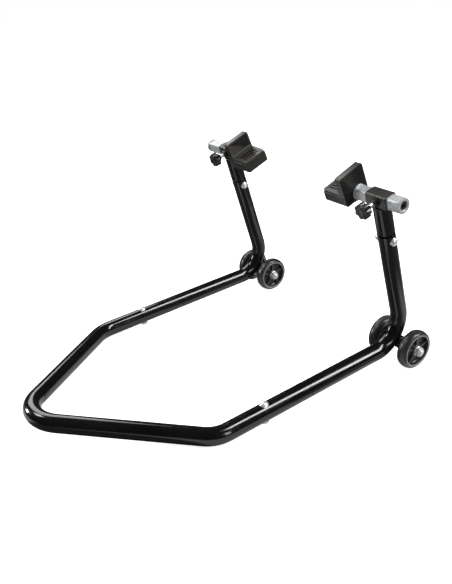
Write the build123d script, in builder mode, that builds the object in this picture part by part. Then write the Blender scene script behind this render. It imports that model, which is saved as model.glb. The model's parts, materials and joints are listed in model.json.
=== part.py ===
"""Motorcycle paddock stand: a bolted tube frame on four small wheels, with two
sliding, swivelling swingarm cradles.

The stand stands on the floor at z = 0. X runs to its right, Y runs from the
handle to the wheels and Z runs up. The origin is under the middle of its box.
"""

from build123d import *
from math import atan2, cos, radians, sin, sqrt
import os

os.makedirs("parts", exist_ok=True)

# ---------------------------------------------------------------- driving sizes
# frame tube
tube_r = 16.0
tube_wall = 2.0
bend_r = 60.0
spigot_gap = 0.1

# corners of the frame's centre lines, from the middle of the stand, Y from the rear bend
arm_x = 220.0
rear_corner_z = 42.9
bend_corner_y = -445.8
bend_corner_z = 15.3
apex_corner_y = -704.5
apex_corner_z = 37.0
lean = 17.3

# where the frame comes apart
arm_seam_y = -250.0
arm_spigot = 125.0
arm_bolt_from_seam = 96.0
post_seam = 249.0
post_spigot = 42.0
post_bolt = 237.0
shoulder = 4.5
seam_break = 0.5

# heads
head_rise = 321.0
sleeve_w = 26.0
sleeve_len = 45.0
sleeve_round = 3.2
bar_w = 22.0
bar_round = 3.5
bar_wall = 2.0
bar_gap = 0.15
bar_inner_x = 172.1
bar_outer_x = 264.7
flange_r = 14.5
flange_t = 2.5
cap_r = 14.0
cap_t = 6.0
left_slid_out = 20.6

# cradle pads, measured from the swivel axis
pad_tilt = 23.3
pad_half_w = 28.1
pad_face_x = 162.6
plate_t = 12.8
pad_len = 57.0
pad_top = 41.6
seat_top = 6.5
seat_bottom = -18.2
boss_r = 15.5

# wheels
wheel_r = 39.0
wheel_w = 22.0
wheel_x = 36.8
axle_y = -10.7
hub_half = 8.5
bush_r = 7.5
axle_r = 5.0
axle_boss_r = 13.0
axle_boss_half = 24.0
running_gap = 0.05
side_gap = 0.2
washer_r = 10.0
washer_inner_t = 1.8
washer_outer_t = 1.6
bush_stand_out = 0.2
bush_outer_x = wheel_x + hub_half + bush_stand_out
outer_washer_x = bush_outer_x + side_gap
axle_nut_x = outer_washer_x + washer_outer_t
axle_head_t = 6.4
axle_nut_t = 8.0
axle_end_x = axle_nut_x + axle_nut_t + 2.0

# fasteners
m8 = 4.0
m8_hole = 4.2
thread_gap = 0.05
m8_nut_af = 13.0
m10_nut_af = 17.0

# clamp knob, distances from the middle of the bar
screw_tip = bar_w / 2 + side_gap
weld_nut_t = 7.0
knob_near = 36.0
knob_far = 50.0
knob_r = 14.8
knob_lobes = 7

# ------------------------------------------------------- origin under the middle
apex_half = atan2(arm_x, bend_corner_y - apex_corner_y)
handle_front_y = apex_corner_y + bend_r * (1 / sin(apex_half) - 1) - tube_r
stand_rear_y = axle_y + wheel_r
right_reach = arm_x + axle_end_x
left_reach = bar_outer_x + cap_t + left_slid_out
middle_y = (handle_front_y + stand_rear_y) / 2
middle_x = (right_reach - left_reach) / 2


def spot(x, y, z):
    """A place on the stand, given from its centre plane and its rear bend."""
    return Vector(x - middle_x, y - middle_y, z)


# --------------------------------------------------------------- working planes
up_dir = Vector(0, -sin(radians(lean)), cos(radians(lean)))
back_dir = Vector(0, cos(radians(lean)), sin(radians(lean)))
arm_rise = atan2(rear_corner_z - bend_corner_z, -bend_corner_y)
arm_dir = Vector(0, cos(arm_rise), sin(arm_rise))
arm_up = Vector(0, -sin(arm_rise), cos(arm_rise))


def upright_plane(side, rise):
    """Plane square to an upright, at a distance above the rear corner."""
    foot = spot(side * arm_x, 0, rear_corner_z)
    return Plane(foot + up_dir * rise, x_dir=(1, 0, 0), z_dir=up_dir)


def arm_plane(side, y):
    """Plane square to an arm, looking towards the wheels."""
    corner = spot(side * arm_x, 0, rear_corner_z)
    return Plane(corner + arm_dir * (y / cos(arm_rise)), x_dir=(1, 0, 0), z_dir=arm_dir)


def bar_plane(side, x):
    """Plane square to a sliding bar, looking outwards; the left bar is slid out."""
    out = x + (left_slid_out if side < 0 else 0)
    head = upright_plane(side, head_rise).origin
    middle = Vector(side * out - middle_x, head.Y, head.Z)
    return Plane(middle, x_dir=back_dir, z_dir=(side, 0, 0))


def pad_plane(side):
    """Pad's own axes: X outwards from its outer face, Z up, at the swivel axis."""
    tilt = radians(pad_tilt)
    pad_up = Vector(0, -sin(tilt), cos(tilt))
    return Plane(bar_plane(side, pad_face_x).origin, x_dir=(side, 0, 0), z_dir=pad_up)


def axle_plane(side, x=0.0):
    """Plane square to a wheel axle, at a distance to the right of the tube's middle."""
    return Plane(spot(side * arm_x + x, axle_y, wheel_r), x_dir=(0, 1, 0), z_dir=(1, 0, 0))


def save(part, label):
    """Name a finished piece and write it."""
    part.label = label
    export_step(part, f"parts/{label}.step")


side_names = {-1: "left", 1: "right"}

# -------------------------------------------------------------- V-shaped handle
left_seam = arm_plane(-1, arm_seam_y).origin
right_seam = arm_plane(1, arm_seam_y).origin
handle_corners = [
    left_seam,
    spot(-arm_x, bend_corner_y, bend_corner_z),
    spot(0, apex_corner_y, apex_corner_z),
    spot(arm_x, bend_corner_y, bend_corner_z),
    right_seam,
]

with BuildPart() as handle_tube:
    with BuildLine() as handle_path:
        FilletPolyline(*handle_corners, radius=bend_r)
    with BuildSketch(Plane(left_seam, x_dir=(1, 0, 0), z_dir=-arm_dir)):
        Circle(tube_r)
        Circle(tube_r - tube_wall, mode=Mode.SUBTRACT)
    sweep(path=handle_path.line)
    for side in (-1, 1):
        bolt_place = arm_plane(side, arm_seam_y - arm_bolt_from_seam).origin
        with BuildSketch(Plane(bolt_place, x_dir=(1, 0, 0), z_dir=arm_up)):
            Circle(m8_hole)
        extrude(amount=2 * tube_r, both=True, mode=Mode.SUBTRACT)
        # sharp outer edge of the tube's end, broken
        with BuildSketch(arm_plane(side, arm_seam_y)):
            Circle(tube_r + 1)
            Circle(tube_r - seam_break, mode=Mode.SUBTRACT)
        extrude(amount=-seam_break, mode=Mode.SUBTRACT)
save(handle_tube.part, "handle_tube")


# ------------------------------------------------ bent side arms with a spigot
def build_side_arm(side):
    """Arm that bends up into the upright's socket, with a swaged front end."""
    seam = arm_plane(side, arm_seam_y)
    with BuildPart() as arm:
        with BuildLine() as path:
            FilletPolyline(
                seam.origin,
                spot(side * arm_x, 0, rear_corner_z),
                upright_plane(side, post_seam).origin,
                radius=bend_r,
            )
        with BuildSketch(seam):
            Circle(tube_r)
            Circle(tube_r - tube_wall, mode=Mode.SUBTRACT)
        sweep(path=path.line)
        # swaged front end, which slides into the handle tube
        with BuildSketch(seam):
            Circle(tube_r - tube_wall - spigot_gap)
            Circle(tube_r - 2 * tube_wall - spigot_gap, mode=Mode.SUBTRACT)
        extrude(amount=-arm_spigot)
        with BuildSketch(seam):
            Circle(tube_r - tube_wall / 2)
            Circle(tube_r - 2 * tube_wall - spigot_gap, mode=Mode.SUBTRACT)
        extrude(amount=shoulder)
        with BuildSketch(seam):
            Circle(tube_r + 1)
            Circle(tube_r - seam_break, mode=Mode.SUBTRACT)
        extrude(amount=seam_break, mode=Mode.SUBTRACT)
        bolt_place = arm_plane(side, arm_seam_y - arm_bolt_from_seam).origin
        with BuildSketch(Plane(bolt_place, x_dir=(1, 0, 0), z_dir=arm_up)):
            Circle(m8_hole)
        extrude(amount=2 * tube_r, both=True, mode=Mode.SUBTRACT)
        bolt_level = upright_plane(side, post_bolt).origin
        with BuildSketch(Plane(bolt_level, x_dir=(0, 1, 0), z_dir=(1, 0, 0))):
            Circle(m8_hole)
        extrude(amount=2 * tube_r, both=True, mode=Mode.SUBTRACT)
    return arm.part


# --------------------------------------------------- head post with cone shoulder
def build_head_post(side):
    """Short upper tube, swaged at its foot to plug into the upright."""
    length = head_rise - sleeve_w / 2 - post_seam
    spigot_r = tube_r - tube_wall - spigot_gap
    with BuildPart() as post:
        foot = upright_plane(side, post_seam)
        profile_plane = Plane(foot.origin, x_dir=(1, 0, 0), z_dir=-back_dir)
        with BuildSketch(profile_plane):
            Polygon(
                (spigot_r - tube_wall, -post_spigot),
                (spigot_r, -post_spigot),
                (spigot_r, 0.5),
                (tube_r, shoulder),
                (tube_r, length),
                (tube_r - tube_wall, length),
                (tube_r - tube_wall, shoulder + 2.0),
                (spigot_r - tube_wall, 1.5),
                align=None,
            )
        revolve(axis=Axis(foot.origin, up_dir))
        bolt_level = upright_plane(side, post_bolt).origin
        with BuildSketch(Plane(bolt_level, x_dir=(0, 1, 0), z_dir=(1, 0, 0))):
            Circle(m8_hole)
        extrude(amount=2 * tube_r, both=True, mode=Mode.SUBTRACT)
    return post.part


# ------------------------------------------------------------ axle boss and web
def build_axle_boss(side):
    """Bored boss for the wheel axle, with a web that fits round the tube bend."""
    web_half = 9.0
    with BuildPart() as boss:
        with BuildSketch(axle_plane(side)):
            Circle(axle_boss_r)
        extrude(amount=axle_boss_half, both=True)
        inside = (back_dir * -1 + Vector(0, 0, 1)).normalized()
        web_plane = Plane(axle_plane(side).origin, x_dir=inside, z_dir=(1, 0, 0))
        with BuildSketch(web_plane):
            with Locations((axle_boss_r, 0)):
                Rectangle(2 * axle_boss_r, 1.9 * axle_boss_r)
        extrude(amount=web_half, both=True)
        # the tube bend's own shape is taken out of the web
        corner = spot(side * arm_x, 0, rear_corner_z)
        with BuildLine(mode=Mode.PRIVATE) as bend_path:
            FilletPolyline(
                arm_plane(side, -150).origin,
                corner,
                upright_plane(side, 150).origin,
                radius=bend_r,
            )
        with BuildSketch(arm_plane(side, -150)):
            Circle(tube_r)
        sweep(path=bend_path.line, mode=Mode.SUBTRACT)
        with BuildSketch(axle_plane(side)):
            Circle(axle_r + running_gap)
        extrude(amount=2 * axle_boss_half, both=True, mode=Mode.SUBTRACT)
    return boss.part.solids().sort_by(SortBy.VOLUME)[-1]


# ------------------------------------------------------- square sleeve and nut
def build_sleeve(side):
    """Square sleeve that holds the sliding bar, with the clamp screw's hole."""
    head = upright_plane(side, head_rise).origin
    with BuildPart() as sleeve:
        with BuildSketch(Plane(head, x_dir=back_dir, z_dir=(1, 0, 0))):
            RectangleRounded(sleeve_w, sleeve_w, sleeve_round)
            bore = bar_w + 2 * bar_gap
            RectangleRounded(bore, bore, bar_round, mode=Mode.SUBTRACT)
        extrude(amount=sleeve_len / 2, both=True)
        with BuildSketch(Plane(head, x_dir=(1, 0, 0), z_dir=-back_dir)):
            Circle(m8 + thread_gap)
        extrude(amount=sleeve_w, mode=Mode.SUBTRACT)
    return sleeve.part


def build_weld_nut(side):
    """Hexagon nut welded over the clamp screw's hole."""
    head = upright_plane(side, head_rise).origin
    face = Plane(head, x_dir=(1, 0, 0), z_dir=-back_dir).offset(sleeve_w / 2)
    with BuildPart() as nut:
        with BuildSketch(face):
            RegularPolygon(m8_nut_af / 2, 6, major_radius=False)
            Circle(m8 + thread_gap, mode=Mode.SUBTRACT)
        extrude(amount=weld_nut_t)
    return nut.part


# -------------------------------------------------------------- clamp screw, knob
def build_clamp_screw(side):
    """Threaded rod from the bar's face out to the middle of the knob."""
    head = upright_plane(side, head_rise).origin
    start = Plane(head, x_dir=(1, 0, 0), z_dir=-back_dir).offset(screw_tip)
    with BuildPart() as screw:
        with BuildSketch(start):
            Circle(m8)
        extrude(amount=knob_far - 4 - screw_tip)
        chamfer(screw.edges().filter_by(GeomType.CIRCLE), 0.6)
    return screw.part


def build_knob(side):
    """Lobed hand knob with a neck, blind bored for the clamp screw."""
    neck_len = 6.0
    lobe_r = 4.6
    head = upright_plane(side, head_rise).origin
    near = Plane(head, x_dir=(1, 0, 0), z_dir=-back_dir).offset(knob_near)
    with BuildPart() as knob:
        with BuildSketch(near):
            Circle(knob_r - lobe_r)
            with PolarLocations(knob_r - lobe_r, knob_lobes):
                Circle(lobe_r)
        extrude(amount=knob_far - knob_near)
        fillet(knob.faces().sort_by(Axis(head, -back_dir))[-1].edges(), 1.8)
        with BuildSketch(near):
            Circle(7.5)
        extrude(amount=-neck_len, taper=6)
        with BuildSketch(near.offset(-neck_len)):
            Circle(m8 + thread_gap)
        extrude(amount=knob_far - 4 - knob_near + neck_len, mode=Mode.SUBTRACT)
    return knob.part


# ----------------------------------------------------- sliding bar and its ends
def build_slide_bar(side):
    """Square bar of rounded tube that slides through the sleeve."""
    with BuildPart() as bar:
        with BuildSketch(bar_plane(side, bar_inner_x)):
            RectangleRounded(bar_w, bar_w, bar_round)
            inside = bar_w - 2 * bar_wall
            RectangleRounded(inside, inside, bar_round - bar_wall, mode=Mode.SUBTRACT)
        extrude(amount=bar_outer_x - bar_inner_x)
    return bar.part


def build_bar_flange(side):
    """Round plate welded to the bar's inner end, with a plug inside the bar."""
    plug_r = bar_w / 2 - bar_wall - 0.1
    with BuildPart() as flange:
        with BuildSketch(bar_plane(side, bar_inner_x)):
            Circle(flange_r)
        extrude(amount=-flange_t)
        chamfer(flange.edges().filter_by(GeomType.CIRCLE), 0.4)
        with BuildSketch(bar_plane(side, bar_inner_x)):
            Circle(plug_r)
        extrude(amount=6)
        with BuildSketch(bar_plane(side, bar_inner_x - flange_t)):
            Circle(m8_hole)
        extrude(amount=flange_t + 6, mode=Mode.SUBTRACT)
    return flange.part


cap_recess = 9.5
cap_recess_r = 8.0


def build_bar_cap(side):
    """Round end cap on the bar, counterbored for the swivel bolt's head."""
    plug_r = bar_w / 2 - bar_wall - 0.1
    plug_len = 10.0
    with BuildPart() as cap:
        with BuildSketch(bar_plane(side, bar_outer_x)):
            Circle(cap_r)
        extrude(amount=cap_t)
        chamfer(cap.edges().filter_by(GeomType.CIRCLE), 0.8)
        with BuildSketch(bar_plane(side, bar_outer_x)):
            Circle(plug_r)
        extrude(amount=-plug_len)
        with BuildSketch(bar_plane(side, bar_outer_x + cap_t)):
            Circle(m8_hole)
        extrude(amount=-(plug_len + cap_t), mode=Mode.SUBTRACT)
        with BuildSketch(bar_plane(side, bar_outer_x + cap_t)):
            Circle(cap_recess_r)
        extrude(amount=-cap_recess, mode=Mode.SUBTRACT)
    return cap.part


insert_inner_x = pad_face_x - plate_t + 1.5


def build_pad_bolt(side):
    """Long socket-head bolt through the bar, on which the pad swivels."""
    head_r = 6.5
    head_t = 8.0
    bolt_end_gap = 0.5
    seat_x = bar_outer_x + cap_t - cap_recess
    with BuildPart() as bolt:
        with BuildSketch(bar_plane(side, insert_inner_x + bolt_end_gap)):
            Circle(m8)
        extrude(amount=seat_x - insert_inner_x - bolt_end_gap)
        with BuildSketch(bar_plane(side, seat_x)):
            Circle(head_r)
        extrude(amount=head_t)
        outward = Axis(bar_plane(side, 0).origin, (side, 0, 0))
        chamfer(bolt.faces().sort_by(outward)[-1].edges(), 0.5)
        with BuildSketch(bar_plane(side, seat_x + head_t)):
            RegularPolygon(3.0, 6, major_radius=False)
        extrude(amount=-4.5, mode=Mode.SUBTRACT)
    return bolt.part


# ------------------------------------------------------------- swingarm cradles
insert_r = 8.0


def build_pad_insert(side):
    """Threaded steel bush moulded into the pad."""
    with BuildPart() as bush:
        with BuildSketch(bar_plane(side, insert_inner_x)):
            Circle(insert_r)
            Circle(m8 + thread_gap, mode=Mode.SUBTRACT)
        extrude(amount=bar_inner_x - flange_t - side_gap - insert_inner_x)
    return bush.part


def build_pad(side):
    """L-shaped cradle: an upright plate, a stepped seat with ribs, and a boss."""
    base = pad_plane(side)
    step = 1.3
    step_down = 5.0
    edge_round = 4.0
    panel_depth = 3.0
    panel_len = 33.0
    panel_w = 42.0
    rib_count = 7
    rib_w = 3.0
    boss_h = bar_inner_x - flange_t - side_gap - pad_face_x
    with BuildPart() as pad:
        # seat block, full size below the step
        with BuildSketch(base.offset(seat_bottom)):
            with Locations((-pad_len / 2, 0)):
                Rectangle(pad_len, 2 * pad_half_w)
        extrude(amount=seat_top - step_down - seat_bottom)
        inner_corners = pad.edges().filter_by(Axis((0, 0, 0), base.z_dir))
        inner_corners = inner_corners.sort_by(Axis(base.origin, (side, 0, 0)))[:2]
        fillet(inner_corners, edge_round + step)
        low_edges = pad.faces().sort_by(Axis(base.origin, base.z_dir))[0].edges()
        chamfer(low_edges, 1.5)
        # seat's narrower top
        with BuildSketch(base.offset(seat_top - step_down)):
            with Locations((-(pad_len - step) / 2, 0)):
                RectangleRounded(pad_len - step, 2 * (pad_half_w - step), edge_round)
        extrude(amount=step_down)
        # upright plate
        with BuildSketch(Plane(base.origin, x_dir=base.y_dir, z_dir=(side, 0, 0))):
            plate_h = pad_top - seat_bottom
            mid_h = (pad_top + seat_bottom) / 2
            with Locations((0, mid_h)):
                RectangleRounded(2 * pad_half_w, plate_h, edge_round)
        extrude(amount=-plate_t)
        # outer side slopes up to the round swivel boss
        with BuildSketch(Plane(base.origin, x_dir=base.y_dir, z_dir=(side, 0, 0))):
            with Locations((0, mid_h)):
                RectangleRounded(2 * pad_half_w - 3, plate_h - 3, edge_round)
        with BuildSketch(Plane(base.origin, x_dir=base.y_dir, z_dir=(side, 0, 0)).offset(boss_h)):
            Circle(boss_r)
        loft()
        # ribbed panel sunk into the seat
        panel_mid = -(plate_t + (pad_len - plate_t) / 2) - 0.5
        with BuildSketch(base.offset(seat_top)):
            with Locations((panel_mid, 0)):
                RectangleRounded(panel_len, panel_w, 3.0)
        extrude(amount=-panel_depth, mode=Mode.SUBTRACT)
        with BuildSketch(base.offset(seat_top - panel_depth)):
            with Locations((panel_mid, 0)):
                with GridLocations(0, panel_w / rib_count, 1, rib_count):
                    Rectangle(panel_len - 3, rib_w)
        extrude(amount=panel_depth)
        # bore for the threaded bush
        with BuildSketch(bar_plane(side, insert_inner_x)):
            Circle(insert_r)
        extrude(amount=2 * plate_t, mode=Mode.SUBTRACT)
    return pad.part


# ------------------------------------------------------------ wheels and axles
def build_wheel(side, offset):
    """Moulded wheel with a crowned tread, deep rims, a web and five spokes."""
    rim_r = 30.0
    web_half = 2.5
    hub_r = 11.5
    crown = 2.2
    half = wheel_w / 2
    middle = axle_plane(side, offset)
    profile = Plane(middle.origin, x_dir=(1, 0, 0), z_dir=(0, -1, 0))
    with BuildPart() as wheel:
        with BuildSketch(profile):
            with BuildLine():
                Polyline((-half, rim_r), (half, rim_r), (half, wheel_r - 2 * crown))
                Line((half, wheel_r - 2 * crown), (half - 1.8, wheel_r - crown))
                ThreePointArc((half - 1.8, wheel_r - crown), (0, wheel_r), (-half + 1.8, wheel_r - crown))
                Line((-half + 1.8, wheel_r - crown), (-half, wheel_r - 2 * crown))
                Line((-half, wheel_r - 2 * crown), (-half, rim_r))
            make_face()
        revolve(axis=Axis(middle.origin, (1, 0, 0)))
        with BuildSketch(middle.offset(-web_half)):
            Circle(rim_r + 1)
        extrude(amount=2 * web_half)
        with BuildSketch(middle.offset(-hub_half)):
            Circle(hub_r)
        extrude(amount=2 * hub_half)
        with BuildSketch(middle.offset(-hub_half + 1)):
            with PolarLocations((rim_r + hub_r) / 2, 5, start_angle=18):
                Rectangle(rim_r - hub_r + 2, 4.0)
        extrude(amount=2 * hub_half - 2)
        with BuildSketch(middle.offset(-half)):
            Circle(bush_r)
        extrude(amount=wheel_w, mode=Mode.SUBTRACT)
        side_circles = wheel.edges().filter_by(GeomType.CIRCLE)
        side_circles = side_circles.filter_by(
            lambda edge: abs(abs((edge.arc_center - middle.origin).X) - half) < 0.01
        )
        rim_circles = side_circles.filter_by(lambda edge: abs(edge.radius - rim_r) < 0.01)
        chamfer(rim_circles, 1.0)
        fillet(side_circles.filter_by(lambda edge: edge.radius > rim_r + 1), 1.5)
    return wheel.part


def build_bush(side, offset):
    """Steel bush pressed into a wheel's hub; it runs on the axle bolt."""
    outward = 1 if offset > 0 else -1
    inner_end = axle_boss_half + washer_inner_t + side_gap
    with BuildPart() as bush:
        with BuildSketch(axle_plane(side, outward * inner_end)):
            Circle(bush_r)
            Circle(axle_r + running_gap, mode=Mode.SUBTRACT)
        extrude(amount=outward * (bush_outer_x - inner_end))
    return bush.part


def build_axle_washers(side):
    """Four plain washers, two beside the boss and two outside the wheels."""
    with BuildPart() as washers:
        for outward in (-1, 1):
            for start, thick in ((axle_boss_half, washer_inner_t), (outer_washer_x, washer_outer_t)):
                with BuildSketch(axle_plane(side, outward * start)):
                    Circle(washer_r)
                    Circle(axle_r + running_gap, mode=Mode.SUBTRACT)
                extrude(amount=outward * thick)
    return washers.part


def build_axle_bolt(side):
    """Hexagon-head bolt through both wheels, its thread end to the right."""
    with BuildPart() as bolt:
        with BuildSketch(axle_plane(side, -axle_nut_x)):
            Circle(axle_r)
        extrude(amount=axle_nut_x + axle_end_x)
        chamfer(bolt.faces().sort_by(Axis.X)[-1].edges(), 1.0)
        with BuildSketch(axle_plane(side, -axle_nut_x)):
            RegularPolygon(m10_nut_af / 2, 6, major_radius=False)
        extrude(amount=-axle_head_t)
    return bolt.part


def build_axle_nut(side):
    """Lock nut on the axle bolt: a hexagon with a round collar."""
    nut_collar_t = 2.0
    with BuildPart() as nut:
        with BuildSketch(axle_plane(side, axle_nut_x)):
            RegularPolygon(m10_nut_af / 2, 6, major_radius=False)
        extrude(amount=axle_nut_t - nut_collar_t)
        with BuildSketch(axle_plane(side, axle_nut_x + axle_nut_t - nut_collar_t)):
            Circle(7.6)
        extrude(amount=nut_collar_t)
        with BuildSketch(axle_plane(side, axle_nut_x)):
            Circle(axle_r + thread_gap)
        extrude(amount=axle_nut_t, mode=Mode.SUBTRACT)
    return nut.part


# --------------------------------------------------------------- frame fasteners
dome_r = 8.0
dome_h = 4.6


def build_dome_bolt(seat, tube_axis, length):
    """Domed bolt through a tube, its head hollowed to sit on the tube.

    seat is the plane through the tube's middle that looks out under the head.
    """
    with BuildPart() as bolt:
        side_view = Plane(seat.origin, x_dir=seat.x_dir, z_dir=-seat.y_dir)
        crest = tube_r + 0.6
        ball_r = (dome_r * dome_r + dome_h * dome_h) / (2 * dome_h)
        mid = sqrt(ball_r * ball_r - (dome_r / 2) ** 2) - (ball_r - dome_h)
        with BuildSketch(side_view):
            with BuildLine():
                Polyline((0, crest + dome_h), (0, crest - 4), (dome_r, crest - 4), (dome_r, crest))
                ThreePointArc((dome_r, crest), (dome_r / 2, crest + mid), (0, crest + dome_h))
            make_face()
        revolve(axis=Axis(seat.origin, seat.z_dir))
        with BuildSketch(Plane(seat.origin, x_dir=seat.z_dir, z_dir=tube_axis)):
            Circle(tube_r)
        extrude(amount=3 * tube_r, both=True, mode=Mode.SUBTRACT)
        with BuildSketch(seat.offset(-length)):
            Circle(m8)
        extrude(amount=length + crest)
    return bolt.part


def build_low_nut(seat, thick):
    """Thin hexagon nut under a tube; seat looks out of the tube wall."""
    with BuildPart() as nut:
        with BuildSketch(seat):
            RegularPolygon(m8_nut_af / 2, 6, major_radius=False)
            Circle(m8 + thread_gap, mode=Mode.SUBTRACT)
        extrude(amount=thick)
    return nut.part


arm_nut_t = 4.6
post_nut_t = 6.5

for side, name in side_names.items():
    save(build_side_arm(side), f"side_arm_{name}")
    save(build_head_post(side), f"head_post_{name}")
    save(build_axle_boss(side), f"axle_boss_{name}")
    save(build_sleeve(side), f"clamp_sleeve_{name}")
    save(build_weld_nut(side), f"clamp_nut_{name}")
    save(build_clamp_screw(side), f"clamp_screw_{name}")
    save(build_knob(side), f"star_knob_{name}")
    save(build_slide_bar(side), f"slide_bar_{name}")
    save(build_bar_flange(side), f"bar_flange_{name}")
    save(build_bar_cap(side), f"bar_cap_{name}")
    save(build_pad_bolt(side), f"pad_bolt_{name}")
    save(build_pad_insert(side), f"pad_insert_{name}")
    save(build_pad(side), f"pad_{name}")
    save(build_axle_bolt(side), f"axle_bolt_{name}")
    save(build_axle_nut(side), f"axle_nut_{name}")
    save(build_axle_washers(side), f"axle_washers_{name}")
    for place, outward in (("outer", side), ("inner", -side)):
        save(build_wheel(side, outward * wheel_x), f"wheel_{name}_{place}")
        save(build_bush(side, outward * wheel_x), f"wheel_bush_{name}_{place}")

    arm_middle = arm_plane(side, arm_seam_y - arm_bolt_from_seam).origin
    arm_seat = Plane(arm_middle, x_dir=(1, 0, 0), z_dir=arm_up)
    save(build_dome_bolt(arm_seat, arm_dir, tube_r + arm_nut_t), f"arm_bolt_{name}")
    under_arm = Plane(arm_middle, x_dir=(1, 0, 0), z_dir=-arm_up).offset(tube_r)
    save(build_low_nut(under_arm, arm_nut_t), f"arm_nut_{name}")

    post_middle = upright_plane(side, post_bolt).origin
    post_seat = Plane(post_middle, x_dir=up_dir, z_dir=(1, 0, 0))
    save(build_dome_bolt(post_seat, up_dir, tube_r + post_nut_t + 1), f"post_bolt_{name}")
    beside_post = Plane(post_middle, x_dir=up_dir, z_dir=(-1, 0, 0)).offset(tube_r)
    save(build_low_nut(beside_post, post_nut_t), f"post_nut_{name}")
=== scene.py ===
"""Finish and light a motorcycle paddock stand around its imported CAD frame.

Lengths are in metres in the frame's own axes: +X to the stand's right, +Y from
the handle to the wheels, +Z up, with the floor at z = 0. Each new piece is
shaped in millimetres, in axes of its own, and scaled as it is placed.
"""

from __future__ import annotations

import json
import logging
import math
from dataclasses import dataclass, field
from enum import Enum
from typing import Any

import bmesh
import bpy
from mathutils import Matrix, Vector

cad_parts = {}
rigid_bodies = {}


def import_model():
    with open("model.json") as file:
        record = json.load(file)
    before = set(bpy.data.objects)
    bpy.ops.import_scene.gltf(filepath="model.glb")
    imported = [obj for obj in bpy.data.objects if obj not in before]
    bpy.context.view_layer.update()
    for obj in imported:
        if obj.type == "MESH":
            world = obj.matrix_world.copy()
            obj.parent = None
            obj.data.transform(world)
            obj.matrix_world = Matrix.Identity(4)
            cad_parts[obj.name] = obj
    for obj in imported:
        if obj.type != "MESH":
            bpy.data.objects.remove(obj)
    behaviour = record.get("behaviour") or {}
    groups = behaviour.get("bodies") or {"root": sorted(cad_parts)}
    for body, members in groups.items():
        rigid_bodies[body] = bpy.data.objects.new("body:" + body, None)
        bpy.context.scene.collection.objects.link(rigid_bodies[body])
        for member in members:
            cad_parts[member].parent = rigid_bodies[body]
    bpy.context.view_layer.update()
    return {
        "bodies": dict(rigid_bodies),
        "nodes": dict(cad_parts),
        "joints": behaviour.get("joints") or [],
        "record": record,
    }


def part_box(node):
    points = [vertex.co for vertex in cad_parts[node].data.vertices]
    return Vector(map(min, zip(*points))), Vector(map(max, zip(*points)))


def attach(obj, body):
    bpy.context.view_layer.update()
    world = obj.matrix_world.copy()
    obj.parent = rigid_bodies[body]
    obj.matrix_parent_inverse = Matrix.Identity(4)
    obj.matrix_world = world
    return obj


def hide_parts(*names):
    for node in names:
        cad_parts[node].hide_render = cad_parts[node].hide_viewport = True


log = logging.getLogger("paddock_stand")

Colour = tuple[float, float, float]
Point = tuple[float, float, float]
Span = tuple[float, float]
Profile = tuple[tuple[float, float], ...]

MM = 0.001
UNIT: Span = (0.0, 1.0)
WHITE = (1.0, 1.0, 1.0, 1.0)

# How straight a face looks along an axis, and how near it lies to a level, in millimetres.
FACING = 0.9
CLOSE = 0.05


# --------------------------------------------------------------------- finishes
@dataclass(frozen=True)
class Grain:
    """One layer of noise: its scale per metre, its octaves and their strength."""

    scale: float
    detail: float = 3.0
    roughness: float = 0.55


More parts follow.
